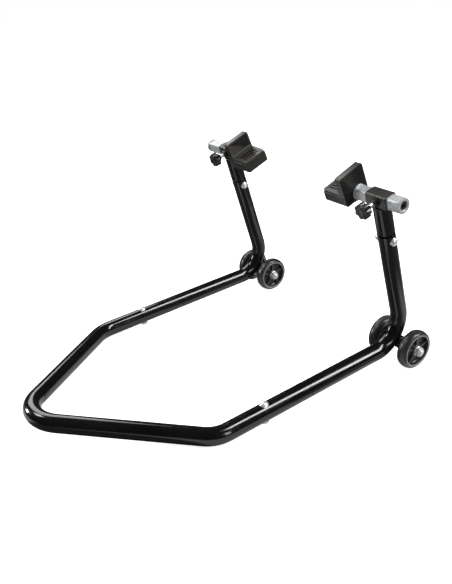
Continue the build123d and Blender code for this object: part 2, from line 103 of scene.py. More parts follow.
class NodeGraph:
    """A small helper that adds nodes to one material and joins their sockets."""

    def __init__(self, name: str) -> None:
        """Start an empty material with an output node.

        Args:
            name: The material's name.
        """
        self.material = bpy.data.materials.new(name)
        self.material.use_nodes = True
        self.nodes = self.material.node_tree.nodes
        self.links = self.material.node_tree.links
        self.nodes.clear()
        self.surface = self.nodes.new("ShaderNodeOutputMaterial").inputs["Surface"]
        self.coords = self.nodes.new("ShaderNodeTexCoord").outputs["Object"]

    def add(self, kind: str, **values: Any) -> bpy.types.Node:
        """Add one node and set its properties and unlinked sockets.

        Args:
            kind: Blender's node type, without the ShaderNode prefix.
            values: Property names, or socket names with spaces as underscores.

        Returns:
            The new node.
        """
        node = self.nodes.new("ShaderNode" + kind)
        for key, value in values.items():
            if hasattr(node, key):
                setattr(node, key, value)
            else:
                node.inputs[key.replace("_", " ")].default_value = value
        return node

    def join(self, start: Any, end: Any) -> None:
        """Link an output socket to an input socket."""
        self.links.new(start, end)

    def noise(self, grain: Grain) -> Any:
        """Add noise on object coordinates.

        Args:
            grain: The noise's scale, octaves and roughness.

        Returns:
            The noise's factor socket.
        """
        node = self.add("TexNoise", Scale=grain.scale, Detail=grain.detail,
                        Roughness=grain.roughness)
        self.join(self.coords, node.inputs["Vector"])
        return node.outputs["Fac"]

    def ramp(self, source: Any, span: Span, values: Span) -> Any:
        """Map a span of a factor onto a span of values, held at its ends.

        Args:
            source: The factor's socket.
            span: The factor's low and high end.
            values: The values at its low and high end.

        Returns:
            The mapped value's socket.
        """
        node = self.add("MapRange")
        node.inputs["From Min"].default_value, node.inputs["From Max"].default_value = span
        node.inputs["To Min"].default_value, node.inputs["To Max"].default_value = values
        self.join(source, node.inputs["Value"])
        return node.outputs["Result"]

    def mix(self, factor: Any, first: Any, second: Any) -> Any:
        """Mix two colours by a factor.

        Args:
            factor: The factor's socket.
            first: Colour, or a colour's socket, at 0.
            second: Colour, or a colour's socket, at 1.

        Returns:
            The mixed colour's socket.
        """
        node = self.add("MixRGB")
        self.join(factor, node.inputs["Fac"])
        for socket, value in (("Color1", first), ("Color2", second)):
            if isinstance(value, tuple):
                node.inputs[socket].default_value = (*value, 1.0)
            else:
                self.join(value, node.inputs[socket])
        return node.outputs["Color"]

    def bump(self, height: Any, distance: float, strength: float) -> Any:
        """Turn a height factor into a bumped normal.

        Args:
            height: The height's socket, 0 to 1.
            distance: Height in metres for a factor of one.
            strength: Share of the bump that is used.

        Returns:
            The normal's socket.
        """
        node = self.add("Bump", Strength=strength, Distance=distance)
        self.join(height, node.inputs["Height"])
        return node.outputs["Normal"]

    def combine(self, operation: str, first: Any, second: Any) -> Any:
        """Combine two factors with one arithmetic operation.

        Args:
            operation: Blender's name for the operation.
            first: The first factor's socket.
            second: The second factor's socket.

        Returns:
            The result's socket.
        """
        node = self.add("Math", operation=operation)
        self.join(first, node.inputs[0])
        self.join(second, node.inputs[1])
        return node.outputs["Value"]

    def window(self, source: Any, span: Span, fade: float) -> Any:
        """Factor that is one inside a span and fades to zero outside it.

        Args:
            source: The socket that is measured.
            span: Low and high end of the span.
            fade: How far outside the span it reaches zero.

        Returns:
            The factor's socket.
        """
        low, high = span
        rising = self.ramp(source, (low - fade, low), (0.0, 1.0))
        falling = self.ramp(source, (high, high + fade), (1.0, 0.0))
        return self.combine("MULTIPLY", rising, falling)

    def edge_wear(self, span: Span) -> Any:
        """Factor that is one on sharp outer edges and zero on flat faces.

        Args:
            span: Pointiness at which the wear starts and is full.

        Returns:
            The factor's socket.
        """
        geometry = self.add("NewGeometry")
        return self.ramp(geometry.outputs["Pointiness"], span, UNIT)


@dataclass(frozen=True)
class GlossPaint:
    """Black powder coat with faint scuffs and a slightly rippled skin."""

    name: str = "gloss_black_powder"
    colour: Colour = (0.003, 0.003, 0.0033)
    scuffed: Colour = (0.008, 0.0075, 0.007)
    roughness: float = 0.13
    coat: float = 0.0
    coat_roughness: float = 0.06
    ripple: float = 0.00004
    cloud: Grain = Grain(9.0, 4.0)
    cloud_span: Span = (0.45, 0.8)
    smear: Grain = Grain(60.0, 5.0, 0.6)
    smear_span: Span = (0.3, 0.75)
    smear_change: Span = (-0.05, 0.08)
    peel: Grain = Grain(420.0, 2.0, 0.4)
    peel_strength: float = 0.12

    def build(self) -> bpy.types.Material:
        """Make the material.

        Returns:
            The material.
        """
        graph = NodeGraph(self.name)
        shader = graph.add("BsdfPrincipled", Coat_Weight=self.coat,
                           Coat_Roughness=self.coat_roughness)
        scuffs = graph.ramp(graph.noise(self.cloud), self.cloud_span, UNIT)
        graph.join(graph.mix(scuffs, self.colour, self.scuffed), shader.inputs["Base Color"])
        glossier, duller = (self.roughness + change for change in self.smear_change)
        sheen = graph.ramp(graph.noise(self.smear), self.smear_span, (glossier, duller))
        graph.join(sheen, shader.inputs["Roughness"])
        normal = graph.bump(graph.noise(self.peel), self.ripple, self.peel_strength)
        graph.join(normal, shader.inputs["Normal"])
        graph.join(normal, shader.inputs["Coat Normal"])
        graph.join(shader.outputs["BSDF"], graph.surface)
        return graph.material


@dataclass(frozen=True)
class Zinc:
    """Plated steel with soft mottled patches and a fine pitting."""

    name: str
    colour: Colour = (0.62, 0.64, 0.65)
    dull: Colour = (0.42, 0.44, 0.445)
    roughness: float = 0.36
    mottle: float = 260.0
    mottle_span: Span = (0.35, 0.65)
    metallic: float = 0.35
    sheen_span: Span = (0.3, 0.7)
    sheen_change: Span = (-0.06, 0.12)
    pits: Grain = Grain(1500.0, 3.0, 0.6)
    pit_depth: float = 0.00006
    pitting: float = 0.3

    def build(self) -> bpy.types.Material:
        """Make the material.

        Returns:
            The material.
        """
        graph = NodeGraph(self.name)
        shader = graph.add("BsdfPrincipled", Metallic=self.metallic)
        patches = graph.noise(Grain(self.mottle, 3.0, 0.6))
        dulled = graph.ramp(patches, self.mottle_span, UNIT)
        graph.join(graph.mix(dulled, self.colour, self.dull), shader.inputs["Base Color"])
        glossier, duller = (self.roughness + change for change in self.sheen_change)
        graph.join(graph.ramp(patches, self.sheen_span, (glossier, duller)),
                   shader.inputs["Roughness"])
        graph.join(graph.bump(graph.noise(self.pits), self.pit_depth, self.pitting),
                   shader.inputs["Normal"])
        graph.join(shader.outputs["BSDF"], graph.surface)
        return graph.material


@dataclass(frozen=True)
class Moulded:
    """Moulded rubber or plastic with a fine grain, and sharp edges lightened as wear and as a
    painted highlight.
    """

    name: str
    colour: Colour = (0.0045, 0.0043, 0.004)
    # Lighter colour for handled blotches, and on sharp edges partly a painted highlight of lit
    # edges.
    rubbed: Colour = (0.05, 0.046, 0.04)
    roughness: float = 0.36
    blotch: Grain = Grain(35.0, 4.0)
    blotch_span: Span = (0.45, 0.75)
    blotches: float = 0.12
    wear_span: Span = (0.52, 0.6)
    sheen_span: Span = (0.3, 0.7)
    sheen_change: Span = (-0.07, 0.1)
    grain: Grain = Grain(900.0, 2.0, 0.5)
    grain_depth: float = 0.00008
    grain_strength: float = 0.4

    def build(self) -> bpy.types.Material:
        """Make the material.

        Returns:
            The material.
        """
        graph = NodeGraph(self.name)
        shader = graph.add("BsdfPrincipled")
        blotch = graph.noise(self.blotch)
        handled = graph.ramp(blotch, self.blotch_span, (0.0, self.blotches))
        worn = graph.mix(handled, self.colour, self.rubbed)
        # Sharp edges take the lighter colour: partly wear, partly a painted highlight of lit edges.
        edged = graph.mix(graph.edge_wear(self.wear_span), worn, self.rubbed)
        graph.join(edged, shader.inputs["Base Color"])
        glossier, duller = (self.roughness + change for change in self.sheen_change)
        graph.join(graph.ramp(blotch, self.sheen_span, (glossier, duller)),
                   shader.inputs["Roughness"])
        graph.join(graph.bump(graph.noise(self.grain), self.grain_depth, self.grain_strength),
                   shader.inputs["Normal"])
        graph.join(shader.outputs["BSDF"], graph.surface)
        return graph.material


class FinishName(Enum):
    """The finishes that the stand's pieces are given."""

    GLOSS = "gloss_black_paint"
    SATIN = "satin_black_paint"
    ZINC = "zinc_plate"
    BRIGHT = "bright_zinc"
    OXIDE = "black_oxide"
    PAD = "pad_rubber"
    KNOB = "knob_plastic"
    WHEEL = "wheel_nylon"
    # The wheel's proud rim ring, painted lighter as a highlight.
    RIM = "worn_rim"


FINISHES = {
    FinishName.GLOSS: GlossPaint(),
    FinishName.SATIN: GlossPaint(name="satin_black_powder", colour=(0.02, 0.018, 0.016),
                                 scuffed=(0.045, 0.04, 0.034), roughness=0.38, coat=0.15,
                                 ripple=0.00008),
    FinishName.ZINC: Zinc(name="mottled_zinc"),
    FinishName.BRIGHT: Zinc(name="bright_zinc", colour=(0.86, 0.87, 0.88),
                            dull=(0.76, 0.77, 0.78), roughness=0.24, mottle=260.0,
                            metallic=0.6, pitting=0.08),
    FinishName.OXIDE: Zinc(name="black_oxide_steel", colour=(0.03, 0.03, 0.033),
                           dull=(0.012, 0.012, 0.013), roughness=0.35, mottle=500.0,
                           metallic=0.4, pitting=0.15),
    FinishName.PAD: Moulded(name="pad_moulding"),
    FinishName.KNOB: Moulded(name="knob_moulding", colour=(0.004, 0.004, 0.004),
                             rubbed=(0.03, 0.03, 0.03), roughness=0.3, grain_depth=0.00003),
    FinishName.WHEEL: Moulded(name="wheel_moulding", colour=(0.015, 0.0153, 0.0165),
                              rubbed=(0.06, 0.062, 0.066), roughness=0.33, blotches=0.35,
                              grain_depth=0.00003),
    # Light grey on the wheel's proud rim ring: a painted highlight.
    FinishName.RIM: Moulded(name="worn_rim_moulding", colour=(0.16, 0.165, 0.17),
                            rubbed=(0.30, 0.305, 0.31), blotches=0.6, roughness=0.42,
                            grain_depth=0.00004),
}


# ----------------------------------------------------------------- camera, light
@dataclass(frozen=True)
class SoftBox:
    """One soft rectangular light: its place, width and height, and power in watts."""

    name: str
    place: Point
    size: Span
    power: float


@dataclass(frozen=True)
class Strip:
    """A rectangle of light painted on the floor, by its edges."""

    left: float
    right: float
    front: float
    rear: float


@dataclass(frozen=True)
class Pool:
    """A round of light painted on the floor: full inside one radius and gone at another."""

    x: float
    y: float
    inner: float
    outer: float


@dataclass
class Studio:
    """Pale floor and room, soft lights and the camera."""

    eye: Vector = field(default_factory=lambda: Vector((0.9230, -0.5555, 0.6917)))
    right: Vector = field(default_factory=lambda: Vector((0.57252, 0.81931, -0.03086)))
    back: Vector = field(default_factory=lambda: Vector((0.74451, -0.50375, 0.43811)))
    aim: Vector = field(default_factory=lambda: Vector((0.0, 0.0, 0.1)))
    lens: float = 38.95
    shift: Span = (-0.0019, -0.0099)
    clip_start: float = 0.01
    floor_radius: float = 14.0
    floor_sides: int = 96
    floor_shade: float = 0.95
    floor_roughness: float = 0.95
    floor_glow: float = 0.85
    floor_mirrored: Span = (0.10, 0.9)
    seen_level: float = 1.0
    mirrored_level: float = 0.03
    fill_level: float = 0.3
    # Strips and pools of light painted on the floor where the paint mirrors it.
    strips: tuple[Strip, ...] = (Strip(0.245, 0.285, -1.0, 1.0), Strip(-0.195, -0.155, -1.0, 1.0),
                                 Strip(0.245, 0.42, -0.7, 0.05), Strip(-0.195, -0.03, -0.7, 0.05))
    strip_fades: Span = (0.02, 0.06)
    pools: tuple[Pool, ...] = (Pool(0.41, 0.44, 0.04, 0.17), Pool(0.14, 0.56, 0.08, 0.30))
    boxes: tuple[SoftBox, ...] = (
        SoftBox("overhead_box", (1.9, 2.0, 3.1), (0.8, 3.2), 150.0),
        SoftBox("side_box", (3.2, 0.6, 1.5), (0.5, 1.6), 18.0),
        SoftBox("left_box", (-2.5, 0.2, 2.25), (1.8, 1.8), 52.0),
        SoftBox("front_box", (-2.2, -1.9, 0.8), (0.5, 0.8), 34.0),
        SoftBox("tread_box", (-1.3, -1.2, 2.1), (0.6, 0.6), 16.0),
    )

    def place_camera(self) -> None:
        """Make the camera and set it as the scene's own."""
        data = bpy.data.cameras.new("camera")
        data.lens = self.lens
        data.shift_x, data.shift_y = self.shift
        data.clip_start = self.clip_start
        camera = bpy.data.objects.new("camera", data)
        bpy.context.scene.collection.objects.link(camera)
        back = self.back.normalized()
        right = self.right.normalized()
        up = back.cross(right).normalized()
        turn = Matrix((right, up, back)).transposed().to_4x4()
        camera.matrix_world = Matrix.Translation(self.eye) @ turn
        bpy.context.scene.camera = camera

    def hang(self, box: SoftBox) -> None:
        """Hang one soft light, facing the stand.

        Args:
            box: The light.
        """
        data = bpy.data.lights.new(box.name, "AREA")
        data.shape = "RECTANGLE"
        data.size, data.size_y = box.size
        data.energy = box.power
        lamp = bpy.data.objects.new(box.name, data)
        bpy.context.scene.collection.objects.link(lamp)
        place = Vector(box.place)
        turn = (self.aim - place).to_track_quat("-Z", "Y").to_matrix().to_4x4()
        lamp.matrix_world = Matrix.Translation(place) @ turn

    def build_world(self) -> None:
        """Make a room that is white to look at, and dim where glossy paint mirrors it."""
        world = bpy.data.worlds.new("pale_room")
        world.use_nodes = True
        nodes, links = world.node_tree.nodes, world.node_tree.links
        nodes.clear()
        output = nodes.new("ShaderNodeOutputWorld")
        path = nodes.new("ShaderNodeLightPath")
        seen, mirrored, fill = (nodes.new("ShaderNodeBackground") for _ in range(3))
        levels = ((seen, self.seen_level), (mirrored, self.mirrored_level), (fill, self.fill_level))
        for shader, level in levels:
            shader.inputs["Color"].default_value = WHITE
            shader.inputs["Strength"].default_value = level
        gloss, camera = (nodes.new("ShaderNodeMixShader") for _ in range(2))
        links.new(path.outputs["Is Glossy Ray"], gloss.inputs["Fac"])
        links.new(fill.outputs["Background"], gloss.inputs[1])
        links.new(mirrored.outputs["Background"], gloss.inputs[2])
        links.new(path.outputs["Is Camera Ray"], camera.inputs["Fac"])
        links.new(gloss.outputs["Shader"], camera.inputs[1])
        links.new(seen.outputs["Background"], camera.inputs[2])
        links.new(camera.outputs["Shader"], output.inputs["Surface"])
        bpy.context.scene.world = world

    def lit_areas(self, graph: NodeGraph) -> Any:
        """Mark where light is painted on the floor for paint that mirrors it: by the arms and
        posts.

        Args:
            graph: The floor's material.

        Returns:
            The factor's socket, one where light is painted on the floor.
        """
        split = graph.add("SeparateXYZ")
        graph.join(graph.coords, split.inputs["Vector"])
        side_fade, end_fade = self.strip_fades
        areas = []
        for strip in self.strips:
            across = graph.window(split.outputs["X"], (strip.left, strip.right), side_fade)
            along = graph.window(split.outputs["Y"], (strip.front, strip.rear), end_fade)
            areas.append(graph.combine("MULTIPLY", across, along))
        for pool in self.pools:
            reach = graph.add("VectorMath", operation="DISTANCE")
            graph.join(graph.coords, reach.inputs[0])
            reach.inputs[1].default_value = (pool.x, pool.y, 0.0)
            areas.append(graph.ramp(reach.outputs["Value"], (pool.inner, pool.outer), (1.0, 0.0)))
        lit = areas[0]
        for area in areas[1:]:
            lit = graph.combine("MAXIMUM", lit, area)
        return lit

    def floor_material(self) -> bpy.types.Material:
        """Make a floor that is plain and pale to look at, and dimmer where it is mirrored, save for
        painted pools of light.

        Returns:
            The material.
        """
        graph = NodeGraph("pale_floor")
        mirrored = graph.add("BsdfPrincipled", Roughness=self.floor_roughness)
        # Painted light: the mirrored floor colour is raised in the strips and pools.
        shade = graph.ramp(self.lit_areas(graph), UNIT, self.floor_mirrored)
        graph.join(shade, mirrored.inputs["Base Color"])
        seen = graph.add("BsdfPrincipled", Roughness=self.floor_roughness,
                         Emission_Strength=self.floor_glow, Emission_Color=WHITE)
        seen.inputs["Base Color"].default_value = (*(self.floor_shade,) * 3, 1.0)
        path = graph.add("LightPath")
        mixed = graph.add("MixShader")
        graph.join(path.outputs["Is Camera Ray"], mixed.inputs["Fac"])
        graph.join(mirrored.outputs["BSDF"], mixed.inputs[1])
        graph.join(seen.outputs["BSDF"], mixed.inputs[2])
        graph.join(mixed.outputs["Shader"], graph.surface)
        return graph.material

    def build_floor(self) -> None:
        """Lay a wide round floor."""
        mesh = bpy.data.meshes.new("floor")
        bm = bmesh.new()
        bmesh.ops.create_circle(bm, cap_ends=True, segments=self.floor_sides,
                                radius=self.floor_radius)
        bm.to_mesh(mesh)
        bm.free()
        floor = bpy.data.objects.new("floor", mesh)
        bpy.context.scene.collection.objects.link(floor)
        mesh.materials.append(self.floor_material())

    def build(self) -> None:
        """Make the room, the floor and the lights."""
        self.build_world()
        self.build_floor()
        for box in self.boxes:
            self.hang(box)
        bpy.context.scene.view_settings.view_transform = "Standard"


# ------------------------------------------------------------------ mesh helpers
class Shape:
    """One bmesh in millimetres on its way to becoming a finished piece."""

    BEVEL_PROFILE = 0.5
    KEEP_MATERIAL = -1

    def __init__(self) -> None:
        """Start with an empty mesh."""
        self.bm = bmesh.new()

    def turn_profile(self, points: list[tuple[float, float]], steps: int) -> None:
        """Spin a closed profile a full turn about local Z.

        Args:
            points: The profile's corners as (radius, height), in order.
            steps: How many steps the turn has.
        """
        verts = [self.bm.verts.new((radius, 0.0, height)) for radius, height in points]
        edges = [self.bm.edges.new(pair) for pair in zip(verts, verts[1:] + verts[:1])]
        bmesh.ops.spin(self.bm, geom=verts + edges, cent=(0, 0, 0), axis=(0, 0, 1),
                       dvec=(0, 0, 0), angle=math.tau, steps=steps, use_merge=True,
                       use_duplicate=False)

    def block(self, low: Point, high: Point, round_off: float = 0.0) -> list[Any]:
        """Add a box between two corners.

        Args:
            low: Lowest corner.
            high: Highest corner.
            round_off: Radius of every edge, or 0 for sharp ones.

        Returns:
            The new vertices.
        """
        before = set(self.bm.verts)
        size = [top - bottom for bottom, top in zip(low, high)]
        middle = [(top + bottom) / 2 for bottom, top in zip(low, high)]
        place = Matrix.Translation(middle) @ Matrix.Diagonal((*size, 1.0))
        verts = bmesh.ops.create_cube(self.bm, size=1.0, matrix=place)["verts"]
        if round_off:
            self.soften(list({edge for vert in verts for edge in vert.link_edges}), round_off, 2)
        return [vert for vert in self.bm.verts if vert not in before]

    def cut(self, place: Point, normal: Point, faces: list[Any] | None = None) -> None:
        """Cut edges where a plane crosses the mesh.

        Args:
            place: A point on the plane.
            normal: The plane's normal.
            faces: The only faces to cut, or None for the whole mesh.
        """
        if faces is None:
            geom = self.bm.verts[:] + self.bm.edges[:] + self.bm.faces[:]
        else:
            geom = list({item for face in faces for item in (face, *face.edges, *face.verts)})
        bmesh.ops.bisect_plane(self.bm, geom=geom, dist=1e-5, plane_co=place, plane_no=normal)

    def soften(self, edges: list[Any], offset: float, segments: int) -> None:
        """Round some edges off."""
        bmesh.ops.bevel(self.bm, geom=edges, affect="EDGES", offset=offset, segments=segments,
                        profile=self.BEVEL_PROFILE, material=self.KEEP_MATERIAL)

    def extrude(self, faces: list[Any], move: Point, context: str = "FACES_ONLY") -> list[Any]:
        """Draw faces out of the mesh and drop the ones that they start from.

        Args:
            faces: The faces.
            move: How far they go.
            context: What is dropped with the old faces.

        Returns:
            The moved vertices.
        """
        drawn = bmesh.ops.extrude_face_region(self.bm, geom=faces)["geom"]
        verts = [item for item in drawn if isinstance(item, bmesh.types.BMVert)]
        bmesh.ops.translate(self.bm, vec=move, verts=verts)
        bmesh.ops.delete(self.bm, geom=faces, context=context)
        return verts

    def faces_at(self, axis: int, sign: int, level: float) -> list[Any]:
        """Find the faces that look one way along an axis, at one level of it.

        Args:
            axis: 0, 1 or 2 for X, Y or Z.
            sign: 1 or -1 for the way that they look.
            level: Where they lie on the axis.

        Returns:
            The faces.
        """
        return [face for face in self.bm.faces if sign * face.normal[axis] > FACING
                and abs(face.calc_center_median()[axis] - level) < CLOSE]

    def finish(self, name: str, place: Matrix, materials: list[bpy.types.Material], body: str,
               slot: str, replaces: tuple[str, ...] = (), crease: float = 35.0
               ) -> bpy.types.Object:
        """Place the mesh in the frame and hang it on its body.

        Args:
            name: The piece's name.
            place: Matrix from local millimetres to the frame, in millimetres.
            materials: Materials in slot order.
            body: The CAD body it rides on.
            slot: The record's material slot; not used.
            replaces: CAD nodes that it stands for.
            crease: Angle in degrees above which an edge stays sharp.

        Returns:
            The finished object.
        """
        bmesh.ops.remove_doubles(self.bm, verts=self.bm.verts[:], dist=1e-4)
        bmesh.ops.transform(self.bm, matrix=Matrix.Scale(MM, 4) @ place, verts=self.bm.verts[:])
        bmesh.ops.recalc_face_normals(self.bm, faces=self.bm.faces[:])
        limit = math.radians(crease)
        for face in self.bm.faces:
            face.smooth = True
        for edge in self.bm.edges:
            edge.smooth = len(edge.link_faces) == 2 and edge.calc_face_angle(0.0) < limit
        mesh = bpy.data.meshes.new(name)
        self.bm.to_mesh(mesh)
        self.bm.free()
        for material in materials:
            mesh.materials.append(material)
        piece = bpy.data.objects.new(name, mesh)
        bpy.context.scene.collection.objects.link(piece)
        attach(piece, body)
        if replaces:
            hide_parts(*replaces)
        log.info("%s: %d faces on %s", name, len(mesh.polygons), body)
        return piece


def axes_at(origin: Vector, x_axis: Vector, z_axis: Vector) -> Matrix:
    """Matrix of a right-handed set of axes at a point.

    Args:
        origin: The point, in millimetres.
        x_axis: Direction of local X.
        z_axis: Direction of local Z.

    Returns:
        The matrix.
    """
    z_axis = z_axis.normalized()
    x_axis = (x_axis - x_axis.dot(z_axis) * z_axis).normalized()
    y_axis = z_axis.cross(x_axis)
    return Matrix.Translation(origin) @ Matrix((x_axis, y_axis, z_axis)).transposed().to_4x4()


def middle_of(node: str) -> Vector:
    """Middle of a CAD node's box, in millimetres."""
    low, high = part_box(node)
    return (low + high) / 2 / MM


class Side(Enum):
    """The stand's two sides, with the sign of X that each is on."""

    LEFT = -1
    RIGHT = 1

    @property
    def tag(self) -> str:
        """The side's name in node names."""
        return self.name.lower()

    @property
    def outward(self) -> Vector:
        """The way out to this side."""
        return Vector((self.value, 0, 0))


ALONG_X = Vector((1, 0, 0))
ALONG_Y = Vector((0, 1, 0))


@dataclass
class Stand:
    """What every sub-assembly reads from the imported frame."""

    frame: dict[str, Any]
    finishes: dict[FinishName, bpy.types.Material]

    def joint(self, name: str) -> dict[str, Any]:
        """The record's joint of that name."""
        return next(joint for joint in self.frame["joints"] if joint["name"] == name)

    def pivot(self, name: str) -> Vector:
        """A hinge's place, in millimetres."""
        return Vector(self.joint(name)["pos_m"]) / MM

    def screw_axis(self, side: Side) -> Vector:
        """Direction from the sleeve out along the clamp screw."""
        return Vector(self.joint(f"knob_turn_{side.tag}")["axis"]).normalized()


# --------------------------------------------------------------------- cradles
@dataclass
class Cradle:
    """L-shaped moulded cradle: upright plate, stepped seat, ribbed panel, sloped back.

    Local X points outwards from the plate's outer face, and Z up the plate.
    """

    stand: Stand
    tilt: float = 23.3
    half_width: float = 28.1
    plate: float = 12.8
    length: float = 57.0
    top: float = 41.6
    seat: float = 6.5
    bottom: float = -18.2
    corner: float = 4.5
    corner_steps: int = 5
    step: float = 1.3
    step_level: float = 1.2
    step_rise: float = 0.7
    step_gap: float = 0.8
    boss_radius: float = 15.5
    boss_steps: int = 40
    slope_margin: float = 1.6
    panel_margin: float = 6.6
    panel_depth: float = 3.0
    ribs: int = 7
    rib_share: Span = (0.26, 0.74)
    rib_inset: float = 1.6
    rib_drop: float = 0.5
    dish_margin: float = 3.6
    dish_wall: float = 1.6
    dish_depth: float = 1.1
    crease: float = 30.0
    edge_round: float = 0.9
    edge_steps: int = 2
    edge_angle: float = 38.0

    def place(self, side: Side) -> Matrix:
        """Find the cradle's own axes.

        Args:
            side: The cradle's side of the stand.

        Returns:
            The matrix of its axes.
        """
        tilt = math.radians(self.tilt)
        up = Vector((0, -math.sin(tilt), math.cos(tilt)))
        return axes_at(self.stand.pivot(f"cradle_swivel_{side.tag}"), side.outward, up)

    def is_corner(self, edge: Any) -> bool:
        """Tell whether an edge of the L is one of its rounded outer corners.

        Args:
            edge: The edge.

        Returns:
            True for the plate's top, the underside's sides and the seat's upright corners.
        """
        a, b = (vert.co for vert in edge.verts)
        far = min(abs(a.y), abs(b.y)) > self.half_width - CLOSE
        along_x = abs(a.x - b.x) > 1
        high = min(a.z, b.z) > self.top - CLOSE
        low = max(a.z, b.z) < self.bottom + CLOSE
        inner = max(a.x, b.x) < CLOSE - self.length and abs(a.z - b.z) > 1
        return far and ((along_x and (high or low)) or inner)

    def make_block(self, shape: Shape) -> None:
        """Make the L from one box: cut it, raise the plate, round its corners.

        Args:
            shape: The cradle's mesh.
        """
        wide = self.half_width
        shape.block((-self.length, -wide, self.bottom), (0, wide, self.seat))
        shape.cut((-self.plate, 0, 0), (1, 0, 0))
        top = [face for face in shape.faces_at(2, 1, self.seat)
               if face.calc_center_median().x > -self.plate]
        shape.extrude(top, (0, 0, self.top - self.seat), "FACES")
        corners = [edge for edge in shape.bm.edges if self.is_corner(edge)]
        shape.soften(corners, self.corner, self.corner_steps)

    def make_dish(self, shape: Shape) -> None:
        """Dish the plate's inner face.

        Args:
            shape: The cradle's mesh.
        """
        inner = [face for face in shape.faces_at(0, -1, -self.plate)
                 if face.calc_center_median().z > self.seat]
        inner = [max(inner, key=lambda face: face.calc_area())]
        bmesh.ops.inset_region(shape.bm, faces=inner, thickness=self.dish_margin,
                               use_even_offset=True)
        bmesh.ops.inset_region(shape.bm, faces=inner, thickness=self.dish_wall,
                               depth=-self.dish_depth, use_even_offset=True)

    def make_step(self, shape: Shape) -> None:
        """Draw the seat's sides in above the step line.

        Args:
            shape: The cradle's mesh.
        """
        inner = -self.plate - self.step_gap
        above = self.step_level + self.step_rise
        for level in (self.step_level, above):
            shape.cut((0, 0, level), (0, 0, 1))
        shape.cut((inner, 0, 0), (1, 0, 0))
        middle = (inner - self.length) / 2
        share = 1 - self.step / self.half_width
        for vert in shape.bm.verts:
            if vert.co.x < inner - CLOSE and vert.co.z > above - CLOSE:
                vert.co.y *= share
                if vert.co.x < middle:
                    vert.co.x += self.step

    def make_panel(self, shape: Shape) -> None:
        """Sink the seat's panel and raise its ribs.

        Args:
            shape: The cradle's mesh.
        """
        seat = [max(shape.faces_at(2, 1, self.seat), key=lambda face: face.calc_area())]
        bmesh.ops.inset_region(shape.bm, faces=seat, thickness=self.panel_margin,
                               use_even_offset=True)
        verts = shape.extrude(seat, (0, 0, -self.panel_depth))
        near, far = (pick(vert.co.x for vert in verts) for pick in (min, max))
        left, right = (pick(vert.co.y for vert in verts) for pick in (min, max))
        pitch = (right - left) / self.ribs
        start, stop = self.rib_share
        cuts = [((0, left + pitch * (count + edge), 0), (0, 1, 0))
                for count in range(self.ribs) for edge in (start, stop)]
        cuts += [((end, 0, 0), (1, 0, 0)) for end in (near + self.rib_inset, far - self.rib_inset)]
        level = self.seat - self.panel_depth
        for place, normal in cuts:
            shape.cut(place, normal, shape.faces_at(2, 1, level))
        ribs = []
        for face in shape.faces_at(2, 1, level):
            middle = face.calc_center_median()
            share = ((middle.y - left) / pitch) % 1.0
            if near + self.rib_inset < middle.x < far - self.rib_inset and start < share < stop:
                ribs.append(face)
        shape.extrude(ribs, (0, 0, self.panel_depth - self.rib_drop))

    def make_slope(self, shape: Shape, boss: float) -> None:
        """Slope the outer side up to the round swivel boss.

        Args:
            shape: The cradle's mesh.
            boss: How far the boss stands out.
        """
        bmesh.ops.dissolve_faces(shape.bm, faces=shape.faces_at(0, 1, 0.0))
        outer = shape.faces_at(0, 1, 0.0)
        bmesh.ops.inset_region(shape.bm, faces=outer, thickness=self.slope_margin,
                               use_even_offset=True)
        edges = list(outer[0].edges)
        bmesh.ops.delete(shape.bm, geom=outer, context="FACES_ONLY")
        upright = Matrix.Translation((boss, 0, 0)) @ Matrix.Rotation(math.pi / 2, 4, "Y")
        ring = bmesh.ops.create_circle(shape.bm, cap_ends=False, segments=self.boss_steps,
                                       radius=self.boss_radius, matrix=upright)
        ring_edges = list({edge for vert in ring["verts"] for edge in vert.link_edges})
        bmesh.ops.bridge_loops(shape.bm, edges=edges + ring_edges)
        bmesh.ops.contextual_create(shape.bm, geom=ring_edges)

    def build(self, side: Side) -> None:
        """Build one cradle and hang it on its body.

        Args:
            side: The cradle's side of the stand.
        """
        low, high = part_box(f"pad_{side.tag}")
        face = self.stand.pivot(f"cradle_swivel_{side.tag}").x * MM
        boss = abs((high.x if side is Side.RIGHT else low.x) - face) / MM
        shape = Shape()
        self.make_block(shape)
        self.make_dish(shape)
        self.make_step(shape)
        self.make_panel(shape)
        self.make_slope(shape, boss)
        piece = shape.finish(f"cradle_moulding_{side.tag}", self.place(side),
                             [self.stand.finishes[FinishName.PAD]], f"cradle_{side.tag}",
                             FinishName.PAD.value, (f"pad_{side.tag}",), self.crease)
        edge = piece.modifiers.new("softened_edges", "BEVEL")
        edge.limit_method = "ANGLE"
        edge.width, edge.segments = self.edge_round * MM, self.edge_steps
        edge.angle_limit, edge.profile = math.radians(self.edge_angle), Shape.BEVEL_PROFILE
        edge.harden_normals = False


